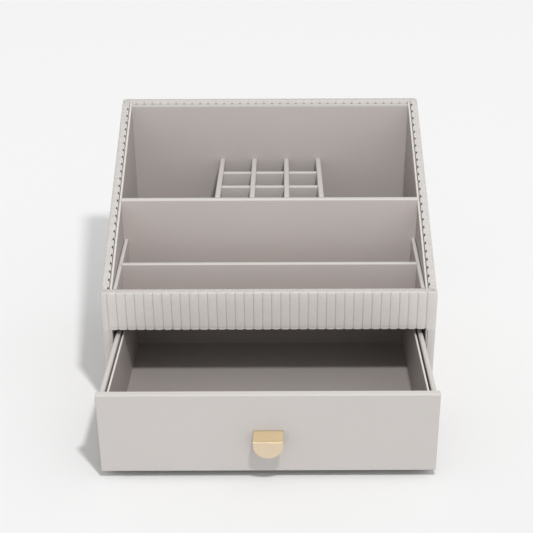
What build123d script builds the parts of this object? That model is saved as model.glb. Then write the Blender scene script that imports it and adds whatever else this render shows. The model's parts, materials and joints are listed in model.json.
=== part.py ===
from build123d import *
import os

os.makedirs("parts", exist_ok=True)

# A tabletop organiser: a case of wrapped boards with a sloping rim, an open tray of
# compartments on top and one drawer below. Millimetres, +Z up, -Y to the user.
# The origin is the middle of the case's footprint, on the surface that it stands on.

# Outside of the case
case_width = 250.0
case_depth = 180.0
back_height = 195.0
front_height = 101.5
fascia_height = 31.5

# Build-up of a case wall, from outside to inside
rib_depth = 0.8
skin_base = 0.8
board_thickness = 4.2
turn_in_thickness = 0.8
liner_thickness = 1.7
rib_pitch = 6.75
corner_inset = 1.4
board_corner_radius = 2.4

# Rolled rim of the skin
rim_thickness = 0.9
rim_depth = 2.6
rim_inset = 0.3
rim_corner_radius = 3.2
rim_outer_radius = 2.0
rim_inner_radius = 1.4
liner_drop = 3.2
liner_round = 0.7

# Levels from the ground up
felt_thickness = 1.0
felt_margin = 3.0
base_thickness = 4.2
shelf_thickness = 4.0
pad_thickness = 1.5

# Tray
divider_y = -8.0
divider_thickness = 5.0
divider_top = 143.1
divider_edge_radius = 1.5
low_divider_y = -48.0
low_divider_thickness = 4.0
low_divider_rise = 0.9
low_divider_edge_radius = 1.0
tray_side_thickness = 3.1
tray_side_gap = 0.3
tray_side_front_top = 100.7
tray_side_rear_top = 109.3
grid_pitch = 27.4
grid_wall_count = 4
grid_wall_thickness = 4.2
grid_wall_rise = 0.8
cross_wall_front_y = 20.0
cross_wall_rear_y = 52.0
cross_wall_thickness = 4.0
cross_wall_drop = 0.7
lap_clearance = 0.1
crown_flat = 0.6

# Drawer
pulled_out = 87.0
panel_side_gap = 1.3
panel_top_gap = 1.5
panel_thickness = 5.0
panel_lift = 6.0
panel_skin = 0.7
panel_edge_radius = 0.8
panel_skin_margin = 12.0
panel_stop_gap = 0.3
drawer_length = 165.0
drawer_board = 3.0
drawer_side_board = 3.6
drawer_side_inset = 1.1
drawer_side_drop = 3.5
drawer_bottom_lift = 6.5
drawer_liner = 1.5
drawer_liner_gap = 1.2
drawer_liner_drop = 1.7
drawer_pad_thickness = 1.5
guide_clearance = 0.6
runner_width = 6.0
runner_thickness = 0.7
runner_clearance = 0.3

# Pull: a bent brass strip with a half-round flap
pull_thickness = 1.2
pull_top = 39.8
pull_reach = 10.0
pull_drop = 3.5
pull_sag = 0.5
pull_root_width = 20.4
pull_flap_width = 21.3
pull_flap_straight = 2.6
pull_flange_drop = 12.0
pull_flange_proud = 0.1
pull_clearance = 0.1
pull_bend_relief = 0.1
tack_spacing = 11.0
tack_drop = 7.0
tack_shank_diameter = 1.6
tack_shank_length = 2.4
tack_head_diameter = 3.6
tack_head_height = 0.5

# Worked out from the sizes above
half_width = case_width / 2
half_depth = case_depth / 2
skin_thickness = rib_depth + skin_base
wall = skin_thickness + board_thickness + turn_in_thickness
groove_x = half_width - rib_depth
groove_y = half_depth - rib_depth
board_x = half_width - skin_thickness
board_y = half_depth - skin_thickness
board_inner_x = board_x - board_thickness
board_inner_y = board_y - board_thickness
inner_x = half_width - wall
inner_y = half_depth - wall
liner_x = inner_x - liner_thickness
liner_y = inner_y - liner_thickness
base_top = felt_thickness + base_thickness
bay_top = front_height - fascia_height
shelf_top = bay_top + shelf_thickness
tray_floor = shelf_top + pad_thickness
bay_front = -half_depth + panel_thickness + panel_stop_gap
near = 0.1
sides = ((-1, "left"), (1, "right"))


def rim_top(y_front, y_back, drop):
    # Side view of a top edge that follows the rim, that far below its crown
    points = [(y_front, front_height - drop)]
    if y_front < -inner_y:
        points.append((-inner_y, front_height - drop))
    points.append((inner_y, back_height - drop))
    if y_back > inner_y:
        points.append((y_back, back_height - drop))
    return points


def spread(x_min, x_max, y_min, y_max):
    # A rectangle of the plan, given by its edges
    with Locations(((x_min + x_max) / 2, (y_min + y_max) / 2)):
        Rectangle(x_max - x_min, y_max - y_min)


def crown_edges(part, direction):
    # The long edges of a piece's top, which run along the given axis
    return part.faces().sort_by(Axis.Z)[-1].edges().filter_by(direction)


def long_crown_lines(part):
    # The edges of all upward faces, except those that run across the wall
    upward = part.faces().filter_by(lambda face: face.normal_at().Z > 0.5)
    return upward.edges().filter_by(lambda edge: abs(edge.tangent_at(0.5).X) < near)


def sloping_edges(part):
    # The two long edges of a sloping top
    return part.faces().sort_by(Axis.Z)[-1].edges().filter_by(
        lambda edge: abs(edge.tangent_at(0.5).X) < near
    )


# Plan of the outer skin: a row of pillows along each wall and one round each corner
front_ribs = round(2 * inner_x / rib_pitch)
side_ribs = round(2 * inner_y / rib_pitch)


def rib_row(start, end, outward, count):
    step = (end - start) / count
    for i in range(count):
        first = start + step * i
        last = start + step * (i + 1)
        ThreePointArc(first, (first + last) / 2 + outward * rib_depth, last)


def corner_rib(start, end, x_side, y_side):
    middle = (x_side * (half_width - corner_inset), y_side * (half_depth - corner_inset))
    ThreePointArc(start, middle, end)


with BuildSketch() as skin_plan:
    with BuildLine():
        rib_row(Vector(-inner_x, -groove_y), Vector(inner_x, -groove_y), Vector(0, -1), front_ribs)
        corner_rib((inner_x, -groove_y), (groove_x, -inner_y), 1, -1)
        rib_row(Vector(groove_x, -inner_y), Vector(groove_x, inner_y), Vector(1, 0), side_ribs)
        corner_rib((groove_x, inner_y), (inner_x, groove_y), 1, 1)
        rib_row(Vector(inner_x, groove_y), Vector(-inner_x, groove_y), Vector(0, 1), front_ribs)
        corner_rib((-inner_x, groove_y), (-groove_x, inner_y), -1, 1)
        rib_row(Vector(-groove_x, inner_y), Vector(-groove_x, -inner_y), Vector(-1, 0), side_ribs)
        corner_rib((-groove_x, -inner_y), (-inner_x, -groove_y), -1, -1)
    make_face()
    RectangleRounded(2 * board_x, 2 * board_y, board_corner_radius, mode=Mode.SUBTRACT)

# Plans of the rolled rim, mitred at the corners and a little inside the pillows' crowns
rim_x = half_width - rim_inset
rim_y = half_depth - rim_inset
with BuildSketch() as side_rim_plan:
    RectangleRounded(2 * rim_x, 2 * rim_y, rim_corner_radius)
    with BuildSketch(mode=Mode.INTERSECT):
        for side, name in sides:
            Polygon(
                (side * inner_x, -inner_y),
                (side * half_width, -half_depth),
                (side * half_width, half_depth),
                (side * inner_x, inner_y),
                align=None,
            )
with BuildSketch() as end_rim_plan:
    RectangleRounded(2 * rim_x, 2 * rim_y, rim_corner_radius)
    with BuildSketch(mode=Mode.INTERSECT):
        for end in (-1, 1):
            Polygon(
                (-inner_x, end * inner_y),
                (-half_width, end * half_depth),
                (half_width, end * half_depth),
                (inner_x, end * inner_y),
                align=None,
            )

# Felt under the case
with BuildPart() as base_felt:
    with BuildSketch():
        Rectangle(case_width - 2 * felt_margin, case_depth - 2 * felt_margin)
    extrude(amount=felt_thickness)
base_felt.part.label = "base_felt"
export_step(base_felt.part, "parts/base_felt.step")

# Bottom board, between the side boards and in front of the back board
with BuildPart() as base_board:
    with BuildSketch(Plane.XY.offset(felt_thickness)):
        spread(-board_inner_x, board_inner_x, -board_y, board_inner_y)
    extrude(amount=base_thickness)
base_board.part.label = "base_board"
export_step(base_board.part, "parts/base_board.step")

# Back board, full height
with BuildPart() as back_board:
    with BuildSketch(Plane.XY.offset(felt_thickness)):
        spread(-board_inner_x, board_inner_x, board_inner_y, board_y)
    extrude(amount=back_height - rim_thickness - felt_thickness)
back_board.part.label = "back_board"
export_step(back_board.part, "parts/back_board.step")

# Rail above the drawer
with BuildPart() as front_rail:
    with BuildSketch(Plane.XY.offset(bay_top + turn_in_thickness)):
        spread(-board_inner_x, board_inner_x, -board_y, -board_inner_y)
    extrude(amount=fascia_height - turn_in_thickness - rim_thickness)
front_rail.part.label = "front_rail"
export_step(front_rail.part, "parts/front_rail.step")

# Shelf between the tray and the drawer bay
with BuildPart() as tray_shelf:
    with BuildSketch(Plane.XY.offset(bay_top)):
        Rectangle(2 * board_inner_x, 2 * board_inner_y)
    extrude(amount=shelf_thickness)
tray_shelf.part.label = "tray_shelf"
export_step(tray_shelf.part, "parts/tray_shelf.step")

# Side boards, their tops cut along the rim and their outer corners rounded
side_boards = []
for side, name in sides:
    with BuildPart() as side_board:
        with BuildSketch(Plane.YZ.offset(side * board_inner_x)):
            Polygon(
                (-board_y, felt_thickness),
                *rim_top(-board_y, board_y, rim_thickness),
                (board_y, felt_thickness),
                align=None,
            )
        extrude(amount=side * board_thickness)
        upright = side_board.edges().filter_by(Axis.Z)
        outer = upright.filter_by(lambda edge: abs(edge.center().X) > board_x - near)
        fillet(outer, board_corner_radius)
    side_boards.append(side_board.part)
    side_board.part.label = f"side_board_{name}"
    export_step(side_board.part, f"parts/side_board_{name}.step")

# Side skins: ribbed outside, wrapped round the boards' front edges beside the drawer,
# rolled over the sloping rim and turned in down the inside
for side, name in sides:
    with BuildPart() as side_rim:
        with BuildSketch(Plane.YZ.offset(side * inner_x)):
            crown = rim_top(-half_depth, half_depth, 0)
            underside = rim_top(-half_depth, half_depth, rim_depth)
            Polygon(*crown, *reversed(underside), align=None)
        extrude(amount=side * (rim_x - inner_x))
        lines = long_crown_lines(side_rim)
        fillet(lines.filter_by(lambda edge: abs(edge.center().X) > rim_x - near), rim_outer_radius)
        lines = long_crown_lines(side_rim)
        fillet(lines.filter_by(lambda edge: abs(edge.center().X) < inner_x + near), rim_inner_radius)
        extrude(side_rim_plan.sketch, amount=back_height, mode=Mode.INTERSECT)
    with BuildPart() as side_skin:
        with BuildSketch(Plane.XY.offset(felt_thickness)):
            add(skin_plan.sketch)
        extrude(amount=back_height)
        with BuildSketch(Plane.YZ.offset(side * inner_x)):
            Polygon(
                (-half_depth, felt_thickness),
                (-half_depth, bay_top),
                (-inner_y, bay_top),
                *rim_top(-inner_y, half_depth, rim_depth),
                (half_depth, felt_thickness),
                align=None,
            )
        extrude(amount=side * wall, mode=Mode.INTERSECT)
        # Turned in above the shelf, and a short way into the drawer bay
        with BuildSketch(Plane.YZ.offset(side * inner_x)):
            Polygon(
                (-inner_y, shelf_top),
                *rim_top(-inner_y, inner_y, rim_depth),
                (inner_y, shelf_top),
                align=None,
            )
            Polygon(
                (-board_y, base_top),
                (-board_y, bay_top),
                (bay_front, bay_top),
                (bay_front, base_top),
                align=None,
            )
        extrude(amount=side * turn_in_thickness)
        add(side_rim.part)
        for board in (*side_boards, back_board.part, front_rail.part):
            add(board, mode=Mode.SUBTRACT)
    side_skin.part.label = f"skin_{name}"
    export_step(side_skin.part, f"parts/skin_{name}.step")

# Back and front skins, between the side skins
for end, name, top, bottom in (
    (1, "back", back_height, felt_thickness),
    (-1, "front", front_height, bay_top),
):
    with BuildPart() as end_rim:
        with BuildSketch(Plane.YZ.offset(-rim_x)):
            with Locations((end * (inner_y + rim_y) / 2, top - rim_depth / 2)):
                Rectangle(rim_y - inner_y, rim_depth)
        extrude(amount=2 * rim_x)
        crown_lines = crown_edges(end_rim, Axis.X).sort_by(Axis.Y, reverse=end < 0)
        fillet(crown_lines[-1], rim_outer_radius)
        crown_lines = crown_edges(end_rim, Axis.X).sort_by(Axis.Y, reverse=end < 0)
        fillet(crown_lines[0], rim_inner_radius)
        extrude(end_rim_plan.sketch, amount=back_height, mode=Mode.INTERSECT)
    skin_reach = inner_x if end > 0 else half_width
    with BuildPart() as end_skin:
        with BuildSketch(Plane.XY.offset(bottom)):
            add(skin_plan.sketch)
            with BuildSketch(mode=Mode.INTERSECT):
                spread(-skin_reach, skin_reach, *sorted((end * inner_y, end * half_depth)))
        extrude(amount=top - rim_depth - bottom)
        with BuildSketch(Plane.XY.offset(shelf_top)):
            spread(-board_inner_x, board_inner_x, *sorted((end * inner_y, end * board_inner_y)))
        extrude(amount=top - rim_depth - shelf_top)
        if end < 0:
            # Wrapped under the rail
            with BuildSketch(Plane.XY.offset(bay_top)):
                spread(-board_inner_x, board_inner_x, -board_y, -board_inner_y)
            extrude(amount=turn_in_thickness)
        add(end_rim.part)
        for board in (*side_boards, back_board.part, front_rail.part):
            add(board, mode=Mode.SUBTRACT)
    end_skin.part.label = f"skin_{name}"
    export_step(end_skin.part, f"parts/skin_{name}.step")

# Liners: lined card inside the four walls of the tray
for side, name in sides:
    with BuildPart() as side_liner:
        with BuildSketch(Plane.YZ.offset(side * liner_x)):
            Polygon(
                (-inner_y, shelf_top),
                *rim_top(-inner_y, inner_y, liner_drop),
                (inner_y, shelf_top),
                align=None,
            )
        extrude(amount=side * liner_thickness)
        fillet(sloping_edges(side_liner), liner_round)
    side_liner.part.label = f"liner_{name}"
    export_step(side_liner.part, f"parts/liner_{name}.step")

for end, name, top in ((1, "back", back_height), (-1, "front", front_height)):
    with BuildPart() as end_liner:
        with BuildSketch(Plane.XY.offset(shelf_top)):
            spread(-liner_x, liner_x, *sorted((end * inner_y, end * liner_y)))
        extrude(amount=top - liner_drop - shelf_top)
        fillet(crown_edges(end_liner, Axis.X), liner_round)
    end_liner.part.label = f"liner_{name}"
    export_step(end_liner.part, f"parts/liner_{name}.step")

# Lined floor of the tray
with BuildPart() as tray_pad:
    with BuildSketch(Plane.XY.offset(shelf_top)):
        Rectangle(2 * liner_x, 2 * liner_y)
    extrude(amount=pad_thickness)
tray_pad.part.label = "tray_pad"
export_step(tray_pad.part, "parts/tray_pad.step")

# Main divider across the tray
with BuildPart() as main_divider:
    with BuildSketch(Plane.XY.offset(tray_floor)):
        with Locations((0, divider_y)):
            Rectangle(2 * liner_x, divider_thickness)
    extrude(amount=divider_top - tray_floor)
    fillet(crown_edges(main_divider, Axis.X), divider_edge_radius)
main_divider.part.label = "main_divider"
export_step(main_divider.part, "parts/main_divider.step")
divider_front = divider_y - divider_thickness / 2
divider_back = divider_y + divider_thickness / 2

# Side boards of the two front compartments, rising a little towards the back
tray_side_x = liner_x - tray_side_gap
for side, name in sides:
    with BuildPart() as tray_side:
        with BuildSketch(Plane.YZ.offset(side * (tray_side_x - tray_side_thickness))):
            Polygon(
                (-liner_y, tray_floor),
                (-liner_y, tray_side_front_top),
                (divider_front, tray_side_rear_top),
                (divider_front, tray_floor),
                align=None,
            )
        extrude(amount=side * tray_side_thickness)
        fillet(sloping_edges(tray_side), (tray_side_thickness - crown_flat) / 2)
    tray_side.part.label = f"tray_side_{name}"
    export_step(tray_side.part, f"parts/tray_side_{name}.step")

# Low divider between them, a little above their tops
side_rise = (tray_side_rear_top - tray_side_front_top) / (divider_front + liner_y)
low_divider_top = tray_side_front_top + side_rise * (low_divider_y + liner_y) + low_divider_rise
low_divider_x = tray_side_x - tray_side_thickness
with BuildPart() as front_divider:
    with BuildSketch(Plane.XY.offset(tray_floor)):
        with Locations((0, low_divider_y)):
            Rectangle(2 * low_divider_x, low_divider_thickness)
    extrude(amount=low_divider_top - tray_floor)
    fillet(crown_edges(front_divider, Axis.X), low_divider_edge_radius)
front_divider.part.label = "front_divider"
export_step(front_divider.part, "parts/front_divider.step")

# Grid: walls along the case, slotted from the top for the cross walls
grid_floor_half = (divider_top - tray_floor) / 2
lap_level = tray_floor + grid_floor_half
grid_half_width = (grid_wall_count - 1) * grid_pitch / 2 + grid_wall_thickness / 2
cross_walls = ((cross_wall_front_y, "front"), (cross_wall_rear_y, "rear"))
for i in range(grid_wall_count):
    wall_x = (i - (grid_wall_count - 1) / 2) * grid_pitch
    with BuildPart() as grid_wall:
        with BuildSketch(Plane.XY.offset(tray_floor)):
            with Locations((wall_x, (divider_back + liner_y) / 2)):
                Rectangle(grid_wall_thickness, liner_y - divider_back)
        extrude(amount=divider_top + grid_wall_rise - tray_floor)
        fillet(crown_edges(grid_wall, Axis.Y), (grid_wall_thickness - crown_flat) / 2)
        with BuildSketch(Plane.XY.offset(lap_level)):
            for wall_y, place in cross_walls:
                with Locations((wall_x, wall_y)):
                    Rectangle(2 * grid_wall_thickness, cross_wall_thickness + 2 * lap_clearance)
        extrude(amount=grid_floor_half + grid_wall_rise, mode=Mode.SUBTRACT)
    grid_wall.part.label = f"grid_wall_{i + 1}"
    export_step(grid_wall.part, f"parts/grid_wall_{i + 1}.step")

# Cross walls, slotted from below so that they drop over the others
for wall_y, place in cross_walls:
    with BuildPart() as cross_wall:
        with BuildSketch(Plane.XY.offset(tray_floor)):
            with Locations((0, wall_y)):
                Rectangle(2 * grid_half_width, cross_wall_thickness)
        extrude(amount=divider_top - cross_wall_drop - tray_floor)
        fillet(crown_edges(cross_wall, Axis.X), (cross_wall_thickness - crown_flat) / 2)
        with BuildSketch(Plane.XY.offset(tray_floor)):
            with Locations((0, wall_y)):
                with GridLocations(grid_pitch, 0, grid_wall_count, 1):
                    Rectangle(grid_wall_thickness + 2 * lap_clearance, 2 * cross_wall_thickness)
        extrude(amount=grid_floor_half, mode=Mode.SUBTRACT)
    cross_wall.part.label = f"cross_wall_{place}"
    export_step(cross_wall.part, f"parts/cross_wall_{place}.step")

# Drawer: the front panel's faces and the box behind it
panel_x = inner_x - panel_side_gap
panel_front = -half_depth - pulled_out
panel_back = panel_front + panel_thickness
panel_top = bay_top - panel_top_gap
panel_height = panel_top - panel_lift
drawer_rear = panel_front + drawer_length
drawer_x = panel_x - drawer_side_inset
drawer_inner_x = drawer_x - drawer_side_board
runner_top = base_top + runner_thickness
drawer_side_bottom = runner_top + runner_clearance
drawer_side_top = panel_top - drawer_side_drop
drawer_bottom_z = drawer_side_bottom + drawer_bottom_lift
drawer_floor = drawer_bottom_z + drawer_board
drawer_liner_x = drawer_inner_x - drawer_liner_gap
drawer_liner_rear = drawer_rear - drawer_board - drawer_liner_gap
drawer_liner_top = drawer_side_top - drawer_liner_drop

# Guide strips beside the drawer, which also stop its front panel, and the low strips
# that its sides slide on
guide_x = drawer_x + guide_clearance
for side, name in sides:
    with BuildPart() as bay_guide:
        with BuildSketch(Plane.XY.offset(base_top)):
            spread(*sorted((side * guide_x, side * board_inner_x)), bay_front, board_inner_y)
        extrude(amount=bay_top - base_top)
    bay_guide.part.label = f"bay_guide_{name}"
    export_step(bay_guide.part, f"parts/bay_guide_{name}.step")

    with BuildPart() as runner:
        with BuildSketch(Plane.XY.offset(base_top)):
            spread(*sorted((side * (guide_x - runner_width), side * guide_x)), bay_front, board_inner_y)
        extrude(amount=runner_thickness)
    runner.part.label = f"runner_{name}"
    export_step(runner.part, f"parts/runner_{name}.step")

# Pull: shelf out of the panel, crisp bend, half-round flap, and a flange behind the board
flap_front = panel_front - pull_reach
bend_top = pull_top - pull_drop
flap_centre = bend_top - pull_flap_straight
flap_bottom = flap_centre - pull_flap_width / 2
core_front = panel_front + panel_skin
core_back = panel_back - panel_skin
flange_rear = core_back + pull_flange_proud
flange_front = flange_rear - pull_thickness
tack_z = pull_top - tack_drop
with BuildPart() as drawer_pull:
    with BuildSketch(Plane.YZ.offset(-pull_flap_width / 2)):
        with BuildLine():
            shelf_top_middle = (panel_front - pull_reach / 2, pull_top - pull_drop / 2 + pull_sag)
            Polyline(
                (flange_rear, pull_top - pull_flange_drop),
                (flange_rear, pull_top),
                (panel_front, pull_top),
            )
            ThreePointArc((panel_front, pull_top), shelf_top_middle, (flap_front, bend_top))
            Polyline(
                (flap_front, bend_top),
                (flap_front, flap_bottom),
                (flap_front + pull_thickness, flap_bottom),
                (flap_front + pull_thickness, bend_top - pull_thickness / 2),
            )
            shelf_under_middle = (
                shelf_top_middle[0] + pull_bend_relief,
                shelf_top_middle[1] - pull_thickness,
            )
            ThreePointArc(
                (flap_front + pull_thickness, bend_top - pull_thickness / 2),
                shelf_under_middle,
                (panel_front, pull_top - pull_thickness),
            )
            Polyline(
                (panel_front, pull_top - pull_thickness),
                (flange_front, pull_top - pull_thickness),
                (flange_front, pull_top - pull_flange_drop),
                (flange_rear, pull_top - pull_flange_drop),
            )
        make_face()
    extrude(amount=pull_flap_width)
    # Seen from the front: straight sides and a half-round end
    with BuildSketch(Plane.XZ.offset(-panel_back)):
        with Locations((0, flap_centre)):
            Circle(pull_flap_width / 2)
            Rectangle(pull_flap_width, pull_top, align=(Align.CENTER, Align.MIN))
    extrude(amount=panel_thickness + 2 * pull_reach, mode=Mode.INTERSECT)
    # Seen from above: the shelf widens from the panel to the bend
    with BuildSketch(Plane.XY):
        Polygon(
            (-pull_root_width / 2, panel_back),
            (-pull_root_width / 2, panel_front),
            (-pull_flap_width / 2, flap_front),
            (pull_flap_width / 2, flap_front),
            (pull_root_width / 2, panel_front),
            (pull_root_width / 2, panel_back),
            align=None,
        )
    extrude(amount=2 * pull_top, mode=Mode.INTERSECT)
    with Locations(Plane.XZ.offset(-flange_rear)):
        with Locations((0, tack_z)):
            with GridLocations(tack_spacing, 0, 2, 1):
                Cylinder(
                    tack_shank_diameter / 2,
                    tack_shank_length,
                    align=(Align.CENTER, Align.CENTER, Align.MIN),
                    mode=Mode.SUBTRACT,
                )
drawer_pull.part.label = "drawer_pull"
export_step(drawer_pull.part, "parts/drawer_pull.step")

# Tacks through the hidden flange into the front board
with BuildPart() as pull_tacks:
    with Locations(Plane.XZ.offset(-flange_rear)):
        with Locations((0, tack_z)):
            with GridLocations(tack_spacing, 0, 2, 1):
                Cylinder(
                    tack_shank_diameter / 2,
                    tack_shank_length,
                    align=(Align.CENTER, Align.CENTER, Align.MIN),
                )
                Cylinder(
                    tack_head_diameter / 2,
                    tack_head_height,
                    align=(Align.CENTER, Align.CENTER, Align.MAX),
                )
pull_tacks.part.label = "pull_tacks"
export_step(pull_tacks.part, "parts/pull_tacks.step")

# Front board, with a slot and a shallow pocket for the pull
with BuildPart() as drawer_front_board:
    with BuildSketch(Plane.XY.offset(panel_lift + panel_skin)):
        spread(-panel_x + panel_skin, panel_x - panel_skin, core_front, core_back)
    extrude(amount=panel_height - 2 * panel_skin)
    with BuildSketch(Plane.XZ.offset(-core_back)):
        with Locations((0, pull_top + pull_clearance)):
            Rectangle(
                pull_root_width + 2 * pull_clearance,
                pull_thickness + 2 * pull_clearance,
                align=(Align.CENTER, Align.MAX),
            )
    extrude(amount=panel_thickness, mode=Mode.SUBTRACT)
    with BuildSketch(Plane.XZ.offset(-core_back)):
        with Locations((0, pull_top + pull_clearance)):
            Rectangle(
                pull_root_width + 2 * pull_clearance,
                pull_flange_drop + 2 * pull_clearance,
                align=(Align.CENTER, Align.MAX),
            )
    extrude(amount=core_back - flange_front, mode=Mode.SUBTRACT)
    add(pull_tacks.part, mode=Mode.SUBTRACT)
drawer_front_board.part.label = "drawer_front_board"
export_step(drawer_front_board.part, "parts/drawer_front_board.step")

# Smooth skin round the front board, with a turned-in margin on its back
with BuildPart() as drawer_front_skin:
    with BuildSketch(Plane.XY.offset(panel_lift)):
        spread(-panel_x, panel_x, panel_front, panel_back)
    extrude(amount=panel_height)
    fillet(drawer_front_skin.faces().sort_by(Axis.Y)[0].edges(), panel_edge_radius)
    with BuildSketch(Plane.XY.offset(panel_lift + panel_skin)):
        spread(-panel_x + panel_skin, panel_x - panel_skin, core_front, core_back)
    extrude(amount=panel_height - 2 * panel_skin, mode=Mode.SUBTRACT)
    with BuildSketch(Plane.XZ.offset(-core_back)):
        with Locations((0, panel_lift + panel_height / 2)):
            Rectangle(2 * (panel_x - panel_skin_margin), panel_height - 2 * panel_skin_margin)
    extrude(amount=-panel_skin, mode=Mode.SUBTRACT)
    with BuildSketch(Plane.XZ.offset(-core_front)):
        with Locations((0, pull_top + pull_clearance)):
            Rectangle(
                pull_root_width + 2 * pull_clearance,
                pull_thickness + 2 * pull_clearance,
                align=(Align.CENTER, Align.MAX),
            )
    extrude(amount=panel_skin, mode=Mode.SUBTRACT)
drawer_front_skin.part.label = "drawer_front_skin"
export_step(drawer_front_skin.part, "parts/drawer_front_skin.step")

# Drawer sides, standing on the runners, with rounded tops
for side, name in sides:
    with BuildPart() as drawer_side:
        with BuildSketch(Plane.XY.offset(drawer_side_bottom)):
            spread(*sorted((side * drawer_inner_x, side * drawer_x)), panel_back, drawer_rear)
        extrude(amount=drawer_side_top - drawer_side_bottom)
        fillet(crown_edges(drawer_side, Axis.Y), (drawer_side_board - crown_flat) / 2)
    drawer_side.part.label = f"drawer_side_{name}"
    export_step(drawer_side.part, f"parts/drawer_side_{name}.step")

    with BuildPart() as drawer_side_liner:
        with BuildSketch(Plane.XY.offset(drawer_floor)):
            spread(
                *sorted((side * (drawer_liner_x - drawer_liner), side * drawer_liner_x)),
                panel_back,
                drawer_liner_rear,
            )
        extrude(amount=drawer_liner_top - drawer_floor)
        fillet(crown_edges(drawer_side_liner, Axis.Y), (drawer_liner - crown_flat) / 2)
    drawer_side_liner.part.label = f"drawer_liner_{name}"
    export_step(drawer_side_liner.part, f"parts/drawer_liner_{name}.step")

# Drawer back, between the sides
with BuildPart() as drawer_back:
    with BuildSketch(Plane.XY.offset(drawer_bottom_z)):
        spread(-drawer_inner_x, drawer_inner_x, drawer_rear - drawer_board, drawer_rear)
    extrude(amount=drawer_side_top - drawer_bottom_z)
    fillet(crown_edges(drawer_back, Axis.X), (drawer_board - crown_flat) / 2)
drawer_back.part.label = "drawer_back"
export_step(drawer_back.part, "parts/drawer_back.step")

# Drawer bottom
with BuildPart() as drawer_bottom:
    with BuildSketch(Plane.XY.offset(drawer_bottom_z)):
        spread(-drawer_inner_x, drawer_inner_x, panel_back, drawer_rear - drawer_board)
    extrude(amount=drawer_board)
drawer_bottom.part.label = "drawer_bottom"
export_step(drawer_bottom.part, "parts/drawer_bottom.step")

# Front and rear liners of the drawer, and its lined floor
clear_x = drawer_liner_x - drawer_liner
clear_front = panel_back + drawer_liner
clear_rear = drawer_liner_rear - drawer_liner
for y_min, y_max, place in (
    (panel_back, clear_front, "front"),
    (clear_rear, drawer_liner_rear, "rear"),
):
    with BuildPart() as drawer_end_liner:
        with BuildSketch(Plane.XY.offset(drawer_floor)):
            spread(-clear_x, clear_x, y_min, y_max)
        extrude(amount=drawer_liner_top - drawer_floor)
        fillet(crown_edges(drawer_end_liner, Axis.X), (drawer_liner - crown_flat) / 2)
    drawer_end_liner.part.label = f"drawer_liner_{place}"
    export_step(drawer_end_liner.part, f"parts/drawer_liner_{place}.step")

with BuildPart() as drawer_pad:
    with BuildSketch(Plane.XY.offset(drawer_floor)):
        spread(-clear_x, clear_x, clear_front, clear_rear)
    extrude(amount=drawer_pad_thickness)
drawer_pad.part.label = "drawer_pad"
export_step(drawer_pad.part, "parts/drawer_pad.step")
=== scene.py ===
import json
import math

import bpy
import numpy as np
from mathutils import Matrix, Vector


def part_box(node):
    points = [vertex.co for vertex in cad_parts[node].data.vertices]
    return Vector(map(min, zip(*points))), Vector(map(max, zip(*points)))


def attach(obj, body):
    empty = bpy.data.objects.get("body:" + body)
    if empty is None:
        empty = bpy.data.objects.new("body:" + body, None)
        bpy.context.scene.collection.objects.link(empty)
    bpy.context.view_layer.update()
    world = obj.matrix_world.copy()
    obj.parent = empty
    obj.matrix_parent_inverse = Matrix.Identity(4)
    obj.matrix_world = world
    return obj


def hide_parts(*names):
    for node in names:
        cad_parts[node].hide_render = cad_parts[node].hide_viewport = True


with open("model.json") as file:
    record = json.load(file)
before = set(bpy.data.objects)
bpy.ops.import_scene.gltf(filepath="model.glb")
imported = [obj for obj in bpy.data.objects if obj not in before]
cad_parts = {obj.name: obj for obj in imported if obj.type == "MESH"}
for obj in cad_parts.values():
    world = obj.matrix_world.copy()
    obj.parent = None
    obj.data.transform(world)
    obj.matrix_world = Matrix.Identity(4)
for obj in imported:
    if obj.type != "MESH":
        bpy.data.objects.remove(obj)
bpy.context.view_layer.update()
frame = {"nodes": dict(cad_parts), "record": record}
print("frame loaded:", len(frame["nodes"]), "nodes")

mm = 0.001

# Sizes shared by the pieces, in millimetres
case = {
    "halfWidth": 125.0, "halfDepth": 90.0, "innerX": 118.4, "innerY": 83.4, "openingX": 118.0,
    "frontTop": 101.5, "backTop": 195.0, "bandBottom": 70.0, "skinBottom": 1.0,
    "cornerRadius": 3.2, "bayEnd": -84.7, "padTop": 75.5,
}


# Materials
def newMaterial(name, colour, roughness, specular=0.5, metallic=0.0):
    material = bpy.data.materials.new(name)
    material.use_nodes = True
    tree = material.node_tree
    shader = tree.nodes["Principled BSDF"]
    shader.inputs["Base Color"].default_value = (*colour, 1)
    shader.inputs["Roughness"].default_value = roughness
    shader.inputs["Specular IOR Level"].default_value = specular
    shader.inputs["Metallic"].default_value = metallic
    return material, tree, shader


def feed(tree, socket, value):
    # A link where the value is a node's output, otherwise the socket's own value
    if hasattr(value, "links"):
        tree.links.new(value, socket)
    elif value is not None:
        socket.default_value = value


def objectCoordinates(tree, scale=(1, 1, 1)):
    place = tree.nodes.new("ShaderNodeTexCoord")
    mapping = tree.nodes.new("ShaderNodeMapping")
    mapping.inputs["Scale"].default_value = scale
    tree.links.new(place.outputs["Object"], mapping.inputs["Vector"])
    return mapping.outputs["Vector"]


def axes(tree, vector):
    split = tree.nodes.new("ShaderNodeSeparateXYZ")
    tree.links.new(vector, split.inputs["Vector"])
    return split.outputs


def facingUp(tree):
    # The height of the surface's direction: 1 where it faces up, 0 where it is upright
    return axes(tree, tree.nodes.new("ShaderNodeNewGeometry").outputs["Normal"])["Z"]


def mixColour(tree, factor, first, second):
    # Sockets 6 and 7 take the colours, and 2 gives the mixed one
    mix = tree.nodes.new("ShaderNodeMix")
    mix.data_type = "RGBA"
    feed(tree, mix.inputs["Factor"], factor)
    for socket, colour in ((mix.inputs[6], first), (mix.inputs[7], second)):
        feed(tree, socket, colour if hasattr(colour, "links") else (*colour, 1))
    return mix.outputs[2]


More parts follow.
